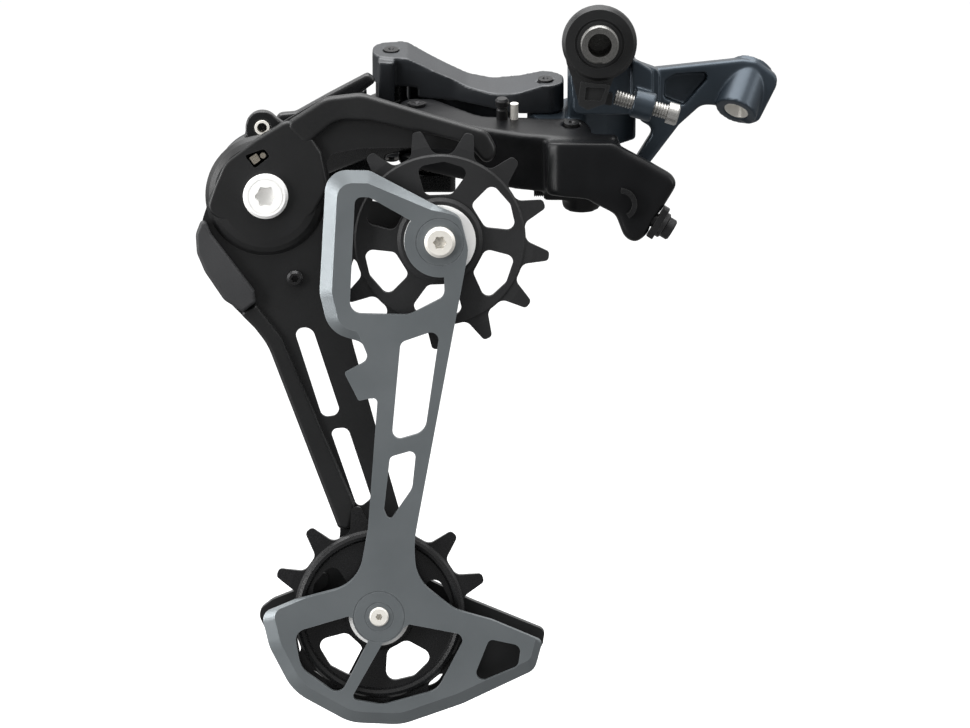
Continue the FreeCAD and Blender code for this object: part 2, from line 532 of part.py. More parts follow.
def inner_cage_plate():
    rim = [p[:3] for p in INNER_EDGE]
    body = ruled(inset(INNER_EDGE), rim, INNER_FACE, INNER_FACE + 1.6)
    body = body.fuse(plate(rim, INNER_FACE + 1.6, INNER_FACE + 2.4))
    upper = plate([(-64.1, -38.6, 2.6), (-60.4, -38.6, 2.6), (-41, -49.6, 0.5), (-40.7, -64.8, 2.5),
                   (-50, -69.6, 5), (-65.6, -69.2, 3)], -20, -14).cut(rod(GUIDE, 9.3, -21, -13))
    big = plate([(-52.2, -76.8, 2), (-41.8, -73.2, 2), (-45.8, -100.4, 4), (-54.6, -103, 2)], -20, -14)
    low = plate([(-55, -107, 1.5), (-48.1, -105, 1.5), (-49.2, -115.5, 4), (-55.2, -124.3, 1.5),
                 (-56.6, -121, 1)], -20, -14)
    left = [(-80.2, -153.4, 3), (-66, -149.2, 0.5), (-60, -152, 0.5), (-61, -156.4, 0.5),
            (-68.2, -170.4, 2.5), (-78.5, -163, 6)]
    right = [(-56.6, -155.6, 0.5), (-50, -151.3, 0.5), (-35, -154.2, 2), (-42.6, -168.8, 5),
             (-57, -172.8, 6), (-65.4, -171.2, 1.2)]
    wells = [plate(side, -20, -14).cut(rod(TENSION, 7, -21, -13)) for side in (left, right)]
    wedge = plate([(-29, -155.2, 1.5), (-20.6, -157, 2), (-21.4, -162.6, 2), (-34, -167.8, 2)], -20, -14)
    holes = [rod(GUIDE, 2.56, -20, -14), rod(TENSION, 2.56, -20, -14)]
    rings = [tube(GUIDE, 6.4, 6.1, -19, INNER_FACE + 0.15), tube(TENSION, 3.9, 3.6, -19, INNER_FACE + 0.15),
             tube(TENSION, 6.9, 6.5, -19, INNER_FACE + 0.15)]
    body = body.cut([upper, big, low, wedge] + wells + holes + rings)
    back = plate([(-62.4, -82.4, 0.6), (-59.0, -81.6, 0.6), (-59.0, -91.6, 0.6), (-61.0, -91.6, 0.6)],
                 INNER_FACE, -14.9)
    return body.fuse(back)


OUTER_EDGE = [(-72, -13.4, 8), (-62.5, -12.3, 8), (-44, -18, 20), (-29.5, -22.2, 4), (-26.6, -27.5, 4),
              (-29.5, -31.5, 2.5), (-36.5, -27.2, 4), (-50.4, -26.7, 8), (-63, -26.9, 3),
              (-72, -28.6, 3), (-70.2, -38.5, 4), (-56, -41.6, 4), (-46, -41.0, 4), (-33.0, -43, 8),
              (-32.8, -58.5, 8), (-46, -59.8, 7), (-53, -53.6, 4), (-64.2, -53.4, 5), (-66.4, -64, 8),
              (-65.0, -78.0, 10), (-55.1, -114.1, 20), (-51.4, -127, 8), (-47.5, -139.5, 10),
              (-34.2, -146, 6), (-14.2, -154.2, 2), (-14.8, -158, 2), (-17.5, -163.2, 4),
              (-35, -170.5, 20), (-52, -176.2, 12), (-61, -176.2, 10), (-73, -171.5, 14),
              (-83, -163, 10), (-87.9, -154, 8), (-90.2, -149.2, 3), (-86, -146, 4), (-79, -143.2, 8),
              (-71.5, -138, 8), (-67.2, -127.8, 20), (-87.2, -78.6, 20), (-90.6, -74.2, 6),
              (-98.2, -66.6, 6), (-103.6, -58, 8), (-104.4, -46, 6), (-101.4, -37, 8),
              (-98.6, -30.4, 8), (-90.7, -24.5, 8), (-81.6, -19, 20)]


def outer_cage_plate():
    face = OUTER_FACE
    body = plate(OUTER_EDGE, face, face + PLATE)
    dome = turned(CAGE_AXIS, [(5.04, -9.4), (11.8, -9.4), (13.6, -9.1), (14.9, -8.3), (15.9, face),
                              (15.9, face + 0.1), (15.9, -5.5), (5.04, -5.5)])
    hollow = turned(CAGE_AXIS, [(4, -8.0), (12.4, -8.0), (13.0, -7.4), (13.0, -5.0), (4, -5.0)])
    arm = plate([(-83, -20.4, 2), (-72, -13.4, 8), (-62.5, -12.3, 8), (-44, -18, 20), (-29.5, -22.2, 4),
                 (-26.6, -27.5, 4), (-29.5, -31.5, 2.5), (-33.5, -27.0, 3), (-37.5, -24.8, 6),
                 (-60, -19.6, 8), (-69, -19.2, 8), (-77, -26, 2)], -9.6, -6.5)
    arm = rounded_edges(arm, 1.2, rim_edges(-9.6))
    hood = plate([(-103.4, -43, 3), (-101.4, -37, 8), (-98.6, -30.4, 8), (-90.7, -24.5, 8),
                  (-81.6, -19, 10), (-77.6, -20.8, 2), (-73.0, -27.6, 2), (-71.0, -37, 1),
                  (-76, -46, 6), (-99, -46, 6)], -9.4, -6.5)
    hood = rounded_edges(hood, 1.0, rim_edges(-9.4))
    leg = plate([(-90.2, -67.8, 1), (-83.3, -76.7, 10), (-64.2, -121.2, 3), (-65.8, -128, 2),
                 (-68.8, -127, 1), (-87.2, -78.6, 20), (-90.6, -74.2, 6), (-94.6, -70.2, 1)], -9.0,
                -6.5)
    leg = rounded_edges(leg, 1.0, rim_edges(-9.0))
    guard = plate([(-47.5, -139.5, 6), (-34.2, -146, 6), (-14.2, -154.2, 2), (-15.2, -157.4, 1),
                   (-34, -149.4, 6), (-48, -144, 4)], -9.4, -6.5)
    lip = plate([(-71.5, -138, 4), (-79, -143.2, 8), (-86, -146, 4), (-90.2, -149.2, 3),
                 (-87.9, -154, 8), (-83, -163, 10), (-80.6, -161.8, 1), (-85.4, -152.8, 6),
                 (-86.4, -149.6, 3), (-78, -146.0, 8), (-71.5, -142.2, 2)], -9.4, -6.5)
    slot_a = plate([(-80.4, -74.6, 2), (-75.6, -73.8, 3), (-67.9, -97.3, 2), (-72.9, -98.0, 2)], -12, -4)
    slot_b = plate([(-71.0, -101, 1.6), (-66.2, -100.6, 2), (-60.0, -119.5, 1.5), (-63.6, -122.4, 1.5)],
                   -12, -4)
    left = [(-80.2, -153.4, 3), (-66, -149.2, 0.5), (-60, -152, 0.5), (-61, -156.4, 0.5),
            (-68.2, -170.4, 2.5), (-78.5, -163, 6)]
    right = [(-56.6, -155.6, 0.5), (-50, -151.3, 0.5), (-35, -154.2, 2), (-42.6, -168.8, 5),
             (-57, -171.8, 6), (-65.4, -170.6, 1.2)]
    wells = [plate(side, -12, -4).cut(rod(TENSION, 8.4, -13, -3)) for side in (left, right)]
    window = plate([(-93.2, -28.6, 0.6), (-90.4, -32.0, 0.6), (-86.4, -28.8, 0.8), (-88.0, -26.8, 0.8)],
                   -12, -4)
    bosses = [tube(GUIDE, 4.6, 2.0, -6.5, -4.0), tube(TENSION, 4.6, 2.0, -6.5, -4.0)]
    holes = [rod(GUIDE, 2.54, -12, -3), rod(TENSION, 2.54, -12, -3), rod(STOP_PIN, 2.0, -12, -3)]
    body = body.fuse([dome, arm, hood, leg, guard, lip] + bosses)
    return body.cut([hollow, slot_a, slot_b, window, rod(CAGE_AXIS, 5.04, -12, -3)] + wells + holes)


def side_pad():
    pad = plate([(-104.0, -44.2, 1), (-106.0, -49.2, 4), (-105.7, -54.2, 4), (-103.6, -59.2, 6),
                 (-98.6, -66.6, 3), (-93.6, -69.8, 1), (-90.2, -67.2, 0.8), (-90.6, -64.2, 0.8),
                 (-101.9, -49.3, 2)], -10.6, -7.22)
    return rounded_edges(pad, 0.9, rim_edges(-10.6))


def spring_end():
    """Bent spring leg hooked in the window of the outer plate."""
    tang = plate([(-91.9, -29.2, 0.3), (-90.6, -31.0, 0.3), (-88.9, -29.8, 0.3), (-90.0, -28.0, 0.3)],
                 -9.2, -6.6)
    hook = rod((-88.3, -28.6), 0.75, -9.0, -6.6)
    return tang.fuse(hook)


def stop_pin():
    pin = turned(STOP_PIN, [(0, -9.2), (1.5, -9.2), (2.1, -8.7), (2.1, -7.22), (1.96, -7.22),
                            (1.96, -2.6), (0, -2.6)])
    return pin.cut(star(STOP_PIN, 1.15, -10, -7.8))


def pulley_outline(centre):
    points = []
    step = 360.0 / TEETH
    for k in range(TEETH):
        for offset, r, fillet in ((-2.3, TOOTH_TIP_R, 1.1), (2.3, TOOTH_TIP_R, 1.1),
                                  (7.6, TOOTH_ROOT_R, 2.4), (step - 7.6, TOOTH_ROOT_R, 2.4)):
            a = math.radians(k * step + offset + centre[2])
            points.append((centre[0] + r * math.cos(a), centre[1] + r * math.sin(a), fillet))
    return points


def pulley_window(centre, angle, inner, outer, half_inner, half_outer, fillet, swirl):
    corners = ((inner, -half_inner), (outer, -half_outer + swirl), (outer + 0.5, swirl), (outer,
                                                                                          half_outer + swirl),
               (inner, half_inner))
    points = []
    for r, offset in corners:
        a = math.radians(angle + offset)
        points.append((centre[0] + r * math.cos(a), centre[1] + r * math.sin(a), fillet))
    return plate(points, PULLEY_Y - 6, PULLEY_Y + 6)


def guide_pulley():
    half = TOOTH_WIDTH / 2
    y = PULLEY_Y
    wheel = plate(pulley_outline(GUIDE + (19.0,)), y - half, y + half)
    hub = turned(GUIDE, [(4.96, y - 2.6), (10.3, y - 2.6), (11.2, y - 2.0), (11.2, y + 2.0),
                         (10.3, y + 2.6), (4.96, y + 2.6)])
    flange = turned(GUIDE, [(9.0, y - 1.5), (22.0, y - 1.5), (22.5, y - half), (22.5, y + half),
                            (22.0, y + 1.5), (9.0, y + 1.5)])
    windows = [pulley_window(GUIDE, 32 + 60 * k, 12.2, 20.2, 17, 20.5, 2.0, -5) for k in range(6)]
    tips = turned(GUIDE, [(24.5, y - 3), (30, y - 3), (30, y - 0.55), (29.1, y - 0.55),
                          (24.5, y - half - 0.01)])
    tops = turned(GUIDE, [(24.5, y + 3), (30, y + 3), (30, y + 0.55), (29.1, y + 0.55),
                          (24.5, y + half + 0.01)])
    return wheel.fuse([flange, hub]).cut(windows + [tips, tops, rod(GUIDE, 4.96, y - 5, y + 5)])


def tension_pulley():
    half = TOOTH_WIDTH / 2
    y = PULLEY_Y
    wheel = plate(pulley_outline(TENSION + (19.3,)), y - half, y + half)
    hub = turned(TENSION, [(4.96, y - 2.6), (8.6, y - 2.6), (9.4, y - 1.8), (9.4, y + 1.8),
                           (8.6, y + 2.6), (4.96, y + 2.6)])
    rib = turned(TENSION, [(19.6, y - half), (20.2, y - 1.9), (21.0, y - 2.2), (21.8, y - 1.9),
                           (22.4, y - half), (22.4, y + half), (21.8, y + 1.9), (21.0, y + 2.2),
                           (20.2, y + 1.9), (19.6, y + half)])
    windows = [pulley_window(TENSION, -133 + 72 * k, 9.9, 18.4, 17, 24.0, 2.4, 0) for k in range(5)]
    tips = turned(TENSION, [(24.5, y - 3), (30, y - 3), (30, y - 0.55), (29.1, y - 0.55),
                            (24.5, y - half - 0.01)])
    tops = turned(TENSION, [(24.5, y + 3), (30, y + 3), (30, y + 0.55), (29.1, y + 0.55),
                            (24.5, y + half + 0.01)])
    return wheel.fuse([hub, rib]).cut(windows + [tips, tops, rod(TENSION, 4.96, y - 5, y + 5)])


def pulley_bush(centre):
    return tube(centre, 4.9, 2.56, -16.08, -7.22)


def dust_caps(centre, r):
    low, high = INNER_FACE + 2.42, -7.22
    near = turned(centre, [(4.96, low), (r, low), (r, -15.35), (r - 0.6, -14.9), (4.96, -14.9)])
    far = turned(centre, [(4.96, high), (r, high), (r, -8.7), (r - 0.6, -9.1), (4.96, -9.1)])
    return Part.makeCompound([near, far])


def guide_bolt():
    face = INNER_FACE
    bolt = turned(GUIDE, [(0, face - 2.0), (3.3, face - 2.0), (4.05, face - 1.3), (4.05, face - 0.02),
                          (2.5, face - 0.02), (2.5, -3.6), (2.1, -3.2), (0, -3.2)])
    return bolt.cut(star(GUIDE, 1.95, face - 3, face - 0.4))


def tension_bolt():
    face = INNER_FACE
    bolt = turned(TENSION, [(0, face - 0.7), (2.2, face - 0.7), (2.5, face - 0.4), (2.5, -3.98),
                            (4.05, -3.98), (4.05, -2.6), (3.4, -1.9), (0, -1.9)])
    return bolt.cut([star(TENSION, 1.0, face - 1, face + 0.6), star(TENSION, 1.95, -3.4, -1)])


# ---------------------------------------------------------------- springs and guides of the linkage

def return_spring():
    """Torsion spring below the inner link's end, drawn about Y and stood on the tilted pin."""
    spring = coil((0, 0), 3.6, 0.5, 0, 5, (-150, 4.0), (40, 5.0))
    spring.rotate(V(0, 0, 0), V(1, 0, 0), -90)
    spring.translate(V(INNER_PIN_K[0], INNER_PIN_K[1], -40.6))
    return tilted(spring)


def spring_post():
    body = turned((0, 0), [(0, 0), (1.5, 0), (1.5, 2.6), (1.2, 3.0), (1.2, 3.4), (1.8, 3.8), (1.8, 5.2),
                           (1.3, 5.8), (0, 5.8)])
    body.rotate(V(0, 0, 0), V(1, 0, 0), 90)
    body.translate(V(-25.6, 6.9, -24.0))
    return tilted(body)


def spring_pin():
    return tilted(post((-22.4, 6.9), 1.1, -24.0, -19.7))


def cable_guide():
    """Curved tongue the cable bends round, fixed on the lever lobe."""
    outer = Part.makeCylinder(4.2, 2.6, V(5.6, -8.2, -41.6), V(0, 1, 0), 150)
    inner = Part.makeCylinder(2.9, 3.0, V(5.6, -8.4, -41.6), V(0, 1, 0), 360)
    return outer.cut(inner)


PARTS = { "hanger_bolt": hanger_bolt, "stop_plate": stop_plate, "washer_disc": washer_disc,
         "hanger_sleeve": hanger_sleeve, "hanger_spring": hanger_spring, "bracket_body": bracket_body,
         "b_screw": b_screw, "cable_ferrule": cable_ferrule,
         "pin_bracket_inner": lambda: link_pin(INNER_PIN_B, -46.0, -23.4),
         "pin_bracket_outer": lambda: link_pin(OUTER_PIN_B, -46.4, -17.4),
         "pin_knuckle_inner": lambda: link_pin(INNER_PIN_K, -42.6, -23.6),
         "pin_knuckle_outer": lambda: link_pin(OUTER_PIN_K, -46.4, -14.6),
         "circlip_bracket_outer": lambda: circlip(OUTER_PIN_B, -46.4),
         "circlip_knuckle_outer": lambda: circlip(OUTER_PIN_K, -46.4), "inner_link": inner_link,
         "outer_link": outer_link, "limit_screws": limit_screws, "clamp_bolt": clamp_bolt,
         "clamp_plate": clamp_plate, "cable_guide": cable_guide, "return_spring": return_spring,
         "spring_post": spring_post, "spring_pin": spring_pin, "knuckle_body": knuckle_body,
         "ear_bushing": ear_bushing, "knuckle_seal": knuckle_seal, "cage_spring": cage_spring,
         "cage_axle": cage_axle, "axle_nut": axle_nut, "clutch_ring": clutch_ring,
         "friction_band": friction_band, "band_clamp": band_clamp, "clutch_cover": clutch_cover,
         "cover_gasket": cover_gasket, "cover_screws": cover_screws, "clutch_lever": clutch_lever,
         "inner_cage_plate": inner_cage_plate, "outer_cage_plate": outer_cage_plate,
         "side_pad": side_pad, "spring_end": spring_end, "stop_pin": stop_pin,
         "guide_pulley": guide_pulley, "tension_pulley": tension_pulley,
         "guide_bush": lambda: pulley_bush(GUIDE), "tension_bush": lambda: pulley_bush(TENSION),
         "guide_caps": lambda: dust_caps(GUIDE, 9.4), "tension_caps": lambda: dust_caps(TENSION, 8.0),
         "guide_bolt": guide_bolt, "tension_bolt": tension_bolt, }

os.makedirs("parts", exist_ok=True)
for name, build in PARTS.items():
    build().exportStep("parts/" + name + ".step")
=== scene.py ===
import math
import bpy
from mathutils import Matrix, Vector


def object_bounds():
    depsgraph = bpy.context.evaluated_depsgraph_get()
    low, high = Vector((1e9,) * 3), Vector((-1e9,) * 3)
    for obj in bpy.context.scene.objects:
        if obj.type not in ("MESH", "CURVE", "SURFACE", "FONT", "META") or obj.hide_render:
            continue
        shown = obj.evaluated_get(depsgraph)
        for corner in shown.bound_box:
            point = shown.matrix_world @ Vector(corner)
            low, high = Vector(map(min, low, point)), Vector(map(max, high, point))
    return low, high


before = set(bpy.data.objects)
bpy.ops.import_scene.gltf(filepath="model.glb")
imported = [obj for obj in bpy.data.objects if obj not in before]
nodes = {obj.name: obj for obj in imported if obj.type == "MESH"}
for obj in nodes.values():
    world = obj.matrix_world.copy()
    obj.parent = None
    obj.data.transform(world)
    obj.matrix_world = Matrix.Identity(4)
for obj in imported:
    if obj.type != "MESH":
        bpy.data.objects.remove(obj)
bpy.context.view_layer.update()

scene = bpy.context.scene

# ---------------------------------------------------------------- studio
# A plain pale floor well under the derailleur, which hangs from its bolt.
# Large soft lights stand above and at both sides, and a weak even fill comes from all round.

floor_size = 60
floor_drop = 0.16
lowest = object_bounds()[0].z
bpy.ops.mesh.primitive_plane_add(size=floor_size, location=(0, 0, lowest - floor_drop))
floor = bpy.context.object
floor.name = "studio_floor"
floor_paint = bpy.data.materials.new("floor_paint")
floor_paint.use_nodes = True
paint = floor_paint.node_tree
floor_shader = paint.nodes["Principled BSDF"]
floor_view = paint.nodes.new("ShaderNodeLightPath")
floor_tone = paint.nodes.new("ShaderNodeMix")
floor_tone.data_type = "RGBA"
floor_tone.inputs["A"].default_value = (0.14, 0.14, 0.14, 1)
floor_tone.inputs["B"].default_value = (0.98, 0.98, 0.98, 1)
paint.links.new(floor_view.outputs["Is Camera Ray"], floor_tone.inputs["Factor"])
paint.links.new(floor_tone.outputs["Result"], floor_shader.inputs["Base Color"])
floor_shader.inputs["Roughness"].default_value = 0.9
floor_shader.inputs["Specular IOR Level"].default_value = 0.1
floor.data.materials.append(floor_paint)

world = bpy.data.worlds.new("studio_air")
world.use_nodes = True
air = world.node_tree
direction = air.nodes.new("ShaderNodeTexCoord")
axes = air.nodes.new("ShaderNodeSeparateXYZ")
air.links.new(direction.outputs["Generated"], axes.inputs["Vector"])
depth = air.nodes.new("ShaderNodeMapRange")
depth.inputs["From Min"].default_value = -0.9
depth.inputs["From Max"].default_value = 0.3
depth.inputs["To Min"].default_value = 0.17
depth.inputs["To Max"].default_value = 0.50
air.links.new(axes.outputs["Y"], depth.inputs["Value"])
height = air.nodes.new("ShaderNodeMapRange")
height.inputs["From Min"].default_value = 0.1
height.inputs["From Max"].default_value = 0.9
height.inputs["To Max"].default_value = 0.9
air.links.new(axes.outputs["Z"], height.inputs["Value"])
fill = air.nodes.new("ShaderNodeMath")
air.links.new(depth.outputs["Result"], fill.inputs[0])
air.links.new(height.outputs["Result"], fill.inputs[1])
air_view = air.nodes.new("ShaderNodeLightPath")
strength = air.nodes.new("ShaderNodeMix")
strength.inputs["B"].default_value = 1.0
air.links.new(air_view.outputs["Is Camera Ray"], strength.inputs["Factor"])
air.links.new(fill.outputs["Value"], strength.inputs["A"])
air.links.new(strength.outputs["Result"], air.nodes["Background"].inputs["Strength"])
air.nodes["Background"].inputs["Color"].default_value = (1, 1, 1, 1)
scene.world = world
scene.view_settings.view_transform = "Standard"


def softbox(name, place, size, watts):
    """A rectangular light aimed at the middle of the derailleur."""
    middle = (-0.03, 0.0, -0.085)
    light = bpy.data.lights.new(name, "AREA")
    light.shape = "RECTANGLE"
    light.size, light.size_y = size
    light.energy = watts
    lamp = bpy.data.objects.new(name, light)
    lamp.location = place
    lamp.rotation_euler = (Vector(middle) - Vector(place)).to_track_quat("-Z", "Y").to_euler()
    scene.collection.objects.link(lamp)


softbox("top_softbox", place=(-0.15, 0.0, 1.3), size=(1.8, 1.4), watts=42)
softbox("left_softbox", place=(-1.35, -0.28, 0.32), size=(0.8, 1.2), watts=12)
softbox("left_front_strip", place=(-1.2, -0.87, -0.05), size=(0.35, 1.2), watts=19)
softbox("right_softbox", place=(1.3, -0.5, 0.4), size=(0.5, 1.0), watts=6)

# ---------------------------------------------------------------- camera
# Stands on the wheel side and looks outboard from a little above.
# It is a long way off with a long lens, so the plates keep nearly true shapes.

tilt = math.radians(6.7)
reach = 2.5
aim_x, aim_y, aim_z = -0.0301, -0.005, -0.08407
camera = bpy.data.objects.new("camera", bpy.data.cameras.new("camera"))
camera.location = (aim_x, aim_y - reach * math.cos(tilt), aim_z + reach * math.sin(tilt))
camera.rotation_euler = (math.radians(90) - tilt, 0, 0)
camera.data.lens = 352.6
camera.data.clip_end = 100
scene.collection.objects.link(camera)
scene.camera = camera

# ---------------------------------------------------------------- bracket casting
# Forged aluminium, anodised slate blue with a satin surface. It carries the hanger pivot,
# the cable arm and the lugs of both links, and its edges are softened by tumbling.


def new_group(name, inputs, outputs):
    """An empty shader group with the named inputs and their values, and the named outputs."""
    group = bpy.data.node_groups.new(name, "ShaderNodeTree")
    for label, value in inputs:
        socket = group.interface.new_socket(label, in_out="INPUT", socket_type="NodeSocketFloat")
        socket.default_value = value
    for label in outputs:
        group.interface.new_socket(label, in_out="OUTPUT", socket_type="NodeSocketFloat")
    return group, group.nodes.new("NodeGroupInput"), group.nodes.new("NodeGroupOutput")


def make_grain_group():
    """Fine speckle and broad cloudiness: a height for bumps and two masks."""
    group, given, out = new_group("surface_grain", (("Grain Scale", 2500.0), ("Cloud Scale", 60.0)),
                                  ("Height", "Speckle", "Cloud"))
    spot = group.nodes.new("ShaderNodeTexCoord")
    fine = group.nodes.new("ShaderNodeTexNoise")
    fine.inputs["Detail"].default_value = 3
    broad = group.nodes.new("ShaderNodeTexNoise")
    broad.inputs["Detail"].default_value = 4
    for noise, scale in ((fine, "Grain Scale"), (broad, "Cloud Scale")):
        group.links.new(spot.outputs["Object"], noise.inputs["Vector"])
        group.links.new(given.outputs[scale], noise.inputs["Scale"])
    group.links.new(fine.outputs["Fac"], out.inputs["Height"])
    for noise, lower, upper, mask in ((fine, 0.35, 0.65, "Speckle"), (broad, 0.3, 0.7, "Cloud")):
        ramp = group.nodes.new("ShaderNodeMapRange")
        ramp.inputs["From Min"].default_value = lower
        ramp.inputs["From Max"].default_value = upper
        group.links.new(noise.outputs["Fac"], ramp.inputs["Value"])
        group.links.new(ramp.outputs["Result"], out.inputs[mask])
    return group


def make_edge_group():
    """Edges found by comparing a rounded normal with the true one, broken up by noise."""
    group, given, out = new_group("edge_wear", (("Radius", 0.0004), ("Amount", 1.0)), ("Mask",))
    rounded = group.nodes.new("ShaderNodeBevel")
    rounded.samples = 4
    group.links.new(given.outputs["Radius"], rounded.inputs["Radius"])
    true = group.nodes.new("ShaderNodeNewGeometry")
    dot = group.nodes.new("ShaderNodeVectorMath")
    dot.operation = "DOT_PRODUCT"
    group.links.new(rounded.outputs["Normal"], dot.inputs[0])
    group.links.new(true.outputs["Normal"], dot.inputs[1])
    edge = group.nodes.new("ShaderNodeMapRange")
    edge.inputs["From Min"].default_value = 0.995
    edge.inputs["From Max"].default_value = 0.90
    group.links.new(dot.outputs["Value"], edge.inputs["Value"])
    spot = group.nodes.new("ShaderNodeTexCoord")
    noise = group.nodes.new("ShaderNodeTexNoise")
    noise.inputs["Scale"].default_value = 700
    noise.inputs["Detail"].default_value = 3
    group.links.new(spot.outputs["Object"], noise.inputs["Vector"])
    patchy = group.nodes.new("ShaderNodeMapRange")
    patchy.inputs["From Min"].default_value = 0.35
    patchy.inputs["From Max"].default_value = 0.6
    patchy.inputs["To Min"].default_value = 0.35
    group.links.new(noise.outputs["Fac"], patchy.inputs["Value"])
    both = group.nodes.new("ShaderNodeMath")
    both.operation = "MULTIPLY"
    group.links.new(edge.outputs["Result"], both.inputs[0])
    group.links.new(patchy.outputs["Result"], both.inputs[1])
    scaled = group.nodes.new("ShaderNodeMath")
    scaled.operation = "MULTIPLY"
    scaled.use_clamp = True
    group.links.new(both.outputs["Value"], scaled.inputs[0])
    group.links.new(given.outputs["Amount"], scaled.inputs[1])
    group.links.new(scaled.outputs["Value"], out.inputs["Mask"])
    return group


surface_grain = make_grain_group()
edge_wear = make_edge_group()


def coated(name, dark, light, worn, roughness, spread, metallic, grain, bump, wear,
           radius=0.0003, specular=0.5):
    """A finish whose colour drifts between dark and light, with worn edges, grain and a bump."""
    material = bpy.data.materials.new(name)
    material.use_nodes = True
    tree = material.node_tree
    shader = tree.nodes["Principled BSDF"]
    grain_node = tree.nodes.new("ShaderNodeGroup")
    grain_node.node_tree = surface_grain
    grain_node.inputs["Grain Scale"].default_value = grain
    grain_node.inputs["Cloud Scale"].default_value = 60.0
    wear_node = tree.nodes.new("ShaderNodeGroup")
    wear_node.node_tree = edge_wear
    wear_node.inputs["Radius"].default_value = radius
    wear_node.inputs["Amount"].default_value = wear
    tone = tree.nodes.new("ShaderNodeMix")
    tone.data_type = "RGBA"
    tone.inputs["A"].default_value = (*dark, 1)
    tone.inputs["B"].default_value = (*light, 1)
    tree.links.new(grain_node.outputs["Cloud"], tone.inputs["Factor"])
    rubbed = tree.nodes.new("ShaderNodeMix")
    rubbed.data_type = "RGBA"
    rubbed.inputs["B"].default_value = (*worn, 1)
    tree.links.new(tone.outputs["Result"], rubbed.inputs["A"])
    tree.links.new(wear_node.outputs["Mask"], rubbed.inputs["Factor"])
    tree.links.new(rubbed.outputs["Result"], shader.inputs["Base Color"])
    rough = tree.nodes.new("ShaderNodeMapRange")
    rough.inputs["To Min"].default_value = roughness - spread
    rough.inputs["To Max"].default_value = roughness + spread
    tree.links.new(grain_node.outputs["Speckle"], rough.inputs["Value"])
    tree.links.new(rough.outputs["Result"], shader.inputs["Roughness"])
    shader.inputs["Metallic"].default_value = metallic
    shader.inputs["Specular IOR Level"].default_value = specular
    relief = tree.nodes.new("ShaderNodeBump")
    relief.inputs["Strength"].default_value = bump
    relief.inputs["Distance"].default_value = 0.0001
    tree.links.new(grain_node.outputs["Height"], relief.inputs["Height"])
    tree.links.new(relief.outputs["Normal"], shader.inputs["Normal"])
    return material


def dress(names, material, soften=0.0):
    """Gives CAD nodes their finish; soften rounds their sharp edges by that many metres."""
    for name in names:
        node = nodes[name]
        node.data.materials.clear()
        node.data.materials.append(material)
        if soften:
            bevel = node.modifiers.new("rounded_edges", "BEVEL")
            bevel.width = soften
            bevel.segments = 2
            bevel.limit_method = "ANGLE"
            bevel.angle_limit = math.radians(35)


def cast(name, voxel, passes):
    """Softens a forged or cast node all over, as tumbling and thick paint do."""
    node = nodes[name]
    remesh = node.modifiers.new("cast_skin", "REMESH")
    remesh.mode = "VOXEL"
    remesh.voxel_size = voxel
    remesh.use_smooth_shade = True
    smooth = node.modifiers.new("tumbled", "SMOOTH")
    smooth.factor = 0.5
    smooth.iterations = passes


slate_blue = coated("slate_blue_anodised", dark=(0.030, 0.041, 0.053), light=(0.040, 0.053, 0.067),
                    worn=(0.12, 0.15, 0.18), roughness=0.34, spread=0.05, metallic=0.5,
                    grain=4200.0, bump=0.12, wear=0.55)
dress(["bracket_body"], slate_blue)
cast("bracket_body", voxel=0.00035, passes=4)

# ---------------------------------------------------------------- hanger end
# The stop plate is pressed steel with a satin black coat, and a blackened washer disc and
# sleeve stand behind it. A hollow bolt of dark plated steel holds the stack to the frame.

black_coat = coated("satin_black_coat", dark=(0.009, 0.0092, 0.0095), light=(0.013, 0.0132, 0.0136),
                    worn=(0.05, 0.051, 0.052), roughness=0.38, spread=0.06, metallic=0.0,
                    grain=3800.0, bump=0.18, wear=0.5, radius=0.0003, specular=0.34)
black_oxide = coated("black_oxide", dark=(0.02, 0.02, 0.021), light=(0.034, 0.034, 0.035),
                     worn=(0.15, 0.148, 0.145), roughness=0.36, spread=0.08, metallic=0.75,
                     grain=3000.0, bump=0.10, wear=0.6, radius=0.0002)
bolt_steel = coated("dark_bolt_steel", dark=(0.14, 0.138, 0.132), light=(0.20, 0.197, 0.19),
                    worn=(0.45, 0.44, 0.42), roughness=0.34, spread=0.08, metallic=0.9,
                    grain=4600.0, bump=0.12, wear=0.6, radius=0.0002)
dress(["stop_plate"], black_coat, soften=0.0003)
dress(["washer_disc", "hanger_sleeve"], black_oxide)
dress(["hanger_bolt"], bolt_steel)

# ---------------------------------------------------------------- hanger tension screw
# A rolled and zinc-plated steel screw through the bracket's boss.
# Its tip bears on the stop plate and sets how far the bracket hangs back.

screw_steel = coated("threaded_steel", dark=(0.40, 0.395, 0.38), light=(0.54, 0.53, 0.51),
                     worn=(0.7, 0.69, 0.67), roughness=0.30, spread=0.08, metallic=0.8,
                     grain=3800.0, bump=0.16, wear=0.4, radius=0.0002)
dress(["b_screw"], screw_steel)

# ---------------------------------------------------------------- cable fittings
# A turned steel ferrule lines the bracket arm's barrel, where the housing ends.
# The clamp bolt, its plate and the curved guide on the cable lever are blackened steel.

bare_steel = coated("machined_steel", dark=(0.70, 0.675, 0.62), light=(0.84, 0.815, 0.76),
                    worn=(0.90, 0.89, 0.86), roughness=0.38, spread=0.10, metallic=0.25,
                    grain=4200.0, bump=0.18, wear=0.5, radius=0.0002)
dress(["cable_ferrule"], bare_steel)
dress(["clamp_bolt", "clamp_plate", "cable_guide"], black_oxide)

# ---------------------------------------------------------------- link pins and limit screw
# Four ground and blackened pins carry the two links; snap rings of spring steel hold the
# outer link's pair. The limit screw in the inner link is blackened too.

